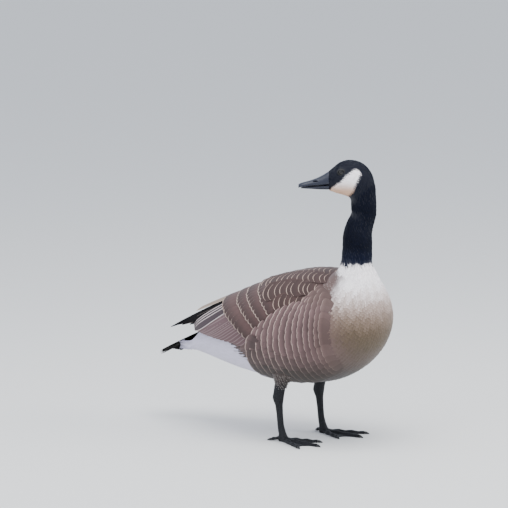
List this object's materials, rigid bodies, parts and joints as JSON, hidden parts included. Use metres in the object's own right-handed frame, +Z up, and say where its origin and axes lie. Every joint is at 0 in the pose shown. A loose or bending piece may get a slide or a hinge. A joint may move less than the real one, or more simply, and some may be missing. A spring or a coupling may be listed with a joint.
{
  "type": "canada goose",
  "caption": "Life-size goose standing on both webbed feet with wings folded, neck raised and head turned back over its right side.",
  "frame": {"origin": "middle of the bounding box at floor level, under the body", "axes": "+Z up; the bird faces -Y with its left side towards +X"},
  "size_m": [0.2246, 0.53, 0.525],
  "materials": {
    "feather_pale": "soft matte feathers",
    "feather_black": "velvety matte feathers",
    "feather_brown": "matte feathers with pale edges",
    "feather_dark": "matte feathers with a slight sheen",
    "bill": "satin horn",
    "leg_skin": "satin scaly skin",
    "claw": "smooth horn",
    "eye": "wet gloss"
  },
  "bodies": {
    "root": {"torso": "feather_pale", "neck_lower": "feather_black", "neck_upper": "feather_black", "head": "feather_black", "bill_upper": "bill", "bill_lower": "bill", "tail": "feather_dark", "eye_left": "eye", "wing_left": "feather_brown", "thigh_left": "feather_brown", "leg_left": "leg_skin", "foot_left": "leg_skin", "eye_right": "eye", "wing_right": "feather_brown", "thigh_right": "feather_brown", "leg_right": "leg_skin", "foot_right": "leg_skin", "claw_left_inner": "claw", "claw_left_middle": "claw", "claw_left_outer": "claw", "claw_left_hind": "claw", "claw_right_inner": "claw", "claw_right_middle": "claw", "claw_right_outer": "claw", "claw_right_hind": "claw"}
  },
  "joints": []
}
